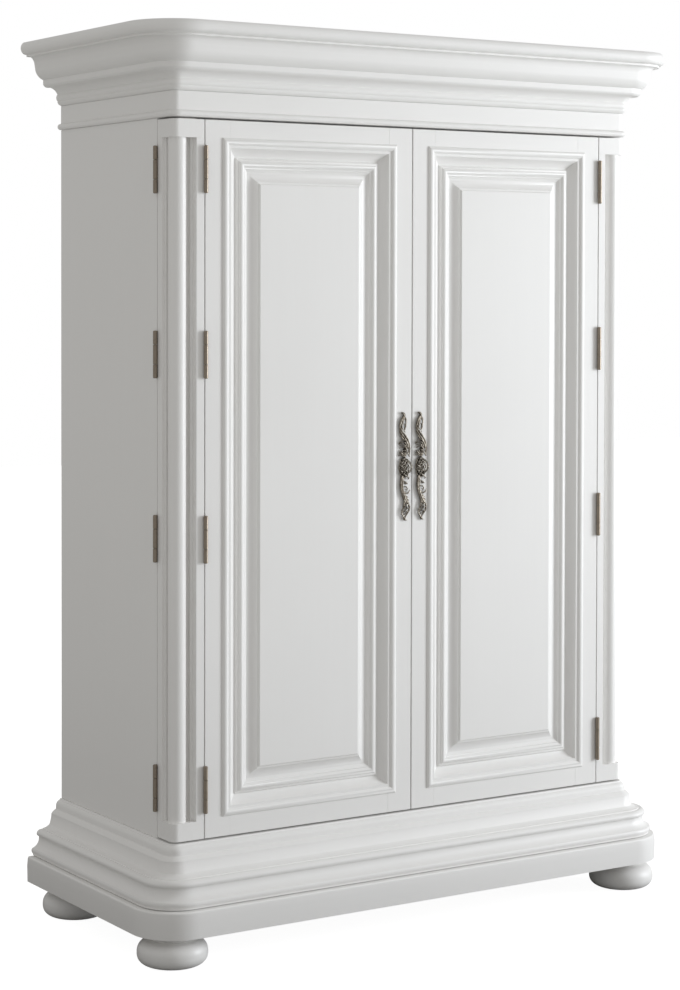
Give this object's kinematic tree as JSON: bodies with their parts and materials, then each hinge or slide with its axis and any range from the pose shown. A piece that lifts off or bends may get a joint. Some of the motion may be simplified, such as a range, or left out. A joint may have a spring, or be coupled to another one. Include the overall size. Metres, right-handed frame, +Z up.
{
  "type": "armoire",
  "caption": "Tall painted armoire with moulded crown, bun feet, engaged corner columns and raised-panel doors that fold back along its sides with their posts.",
  "frame": {"origin": "on the floor, under the middle of the overall bounding box", "axes": "+X to the right as seen from the front, +Y to the back, +Z up; the doors face -Y"},
  "size_m": [1.393, 0.6188, 1.9396],
  "materials": {
    "off_white_lacquer": "satin lacquer, off-white",
    "lacquered_board": "matt lacquer, off-white",
    "hinge_nickel": "aged nickel",
    "antique_silver": "antique silver plate on cast metal",
    "zinc_steel": "zinc plated"
  },
  "bodies": {
    "case": {"back_panel": "off_white_lacquer", "base_moulding": "off_white_lacquer", "case_bottom": "lacquered_board", "case_top": "lacquered_board", "clothes_rail": "zinc_steel", "crown": "off_white_lacquer", "door_catch": "zinc_steel", "foot_front_left": "off_white_lacquer", "foot_front_right": "off_white_lacquer", "foot_rear_left": "off_white_lacquer", "foot_rear_right": "off_white_lacquer", "frieze": "off_white_lacquer", "left_side_hinge_1_case_leaf": "hinge_nickel", "left_side_hinge_2_case_leaf": "hinge_nickel", "left_side_hinge_3_case_leaf": "hinge_nickel", "left_side_hinge_4_case_leaf": "hinge_nickel", "plinth_rail": "off_white_lacquer", "right_side_hinge_1_case_leaf": "hinge_nickel", "right_side_hinge_2_case_leaf": "hinge_nickel", "right_side_hinge_3_case_leaf": "hinge_nickel", "right_side_hinge_4_case_leaf": "hinge_nickel", "shelf": "lacquered_board", "side_left": "off_white_lacquer", "side_right": "off_white_lacquer"},
    "left_post": {"left_door_hinge_1_post_leaf": "hinge_nickel", "left_door_hinge_2_post_leaf": "hinge_nickel", "left_door_hinge_3_post_leaf": "hinge_nickel", "left_door_hinge_4_post_leaf": "hinge_nickel", "left_post": "off_white_lacquer", "left_side_hinge_1_post_leaf": "hinge_nickel", "left_side_hinge_2_post_leaf": "hinge_nickel", "left_side_hinge_3_post_leaf": "hinge_nickel", "left_side_hinge_4_post_leaf": "hinge_nickel"},
    "left_door": {"left_door_frame": "off_white_lacquer", "left_door_hinge_1_door_leaf": "hinge_nickel", "left_door_hinge_2_door_leaf": "hinge_nickel", "left_door_hinge_3_door_leaf": "hinge_nickel", "left_door_hinge_4_door_leaf": "hinge_nickel", "left_door_moulding": "off_white_lacquer", "left_door_panel": "off_white_lacquer", "left_handle_plate": "antique_silver", "left_handle_pull": "antique_silver"},
    "right_post": {"right_door_hinge_1_post_leaf": "hinge_nickel", "right_door_hinge_2_post_leaf": "hinge_nickel", "right_door_hinge_3_post_leaf": "hinge_nickel", "right_door_hinge_4_post_leaf": "hinge_nickel", "right_post": "off_white_lacquer", "right_side_hinge_1_post_leaf": "hinge_nickel", "right_side_hinge_2_post_leaf": "hinge_nickel", "right_side_hinge_3_post_leaf": "hinge_nickel", "right_side_hinge_4_post_leaf": "hinge_nickel"},
    "right_door": {"right_door_frame": "off_white_lacquer", "right_door_hinge_1_door_leaf": "hinge_nickel", "right_door_hinge_2_door_leaf": "hinge_nickel", "right_door_hinge_3_door_leaf": "hinge_nickel", "right_door_hinge_4_door_leaf": "hinge_nickel", "right_door_moulding": "off_white_lacquer", "right_door_panel": "off_white_lacquer", "right_handle_plate": "antique_silver", "right_handle_pull": "antique_silver"}
  },
  "joints": [
    {"name": "left_post_hinge", "type": "hinge", "parent": "case", "child": "left_post", "pos_m": [-0.60275, -0.14383, 0.246], "axis": [0, 0, -1], "range_deg": [0, 90]},
    {"name": "left_door_hinge", "type": "hinge", "parent": "left_post", "child": "left_door", "pos_m": [-0.52195, -0.21563, 0.246], "axis": [0, 0, -1], "range_deg": [0, 180]},
    {"name": "right_post_hinge", "type": "hinge", "parent": "case", "child": "right_post", "pos_m": [0.60275, -0.14383, 0.246], "axis": [0, 0, 1], "range_deg": [0, 90]},
    {"name": "right_door_hinge", "type": "hinge", "parent": "right_post", "child": "right_door", "pos_m": [0.52195, -0.21563, 0.246], "axis": [0, 0, 1], "range_deg": [0, 180]}
  ]
}
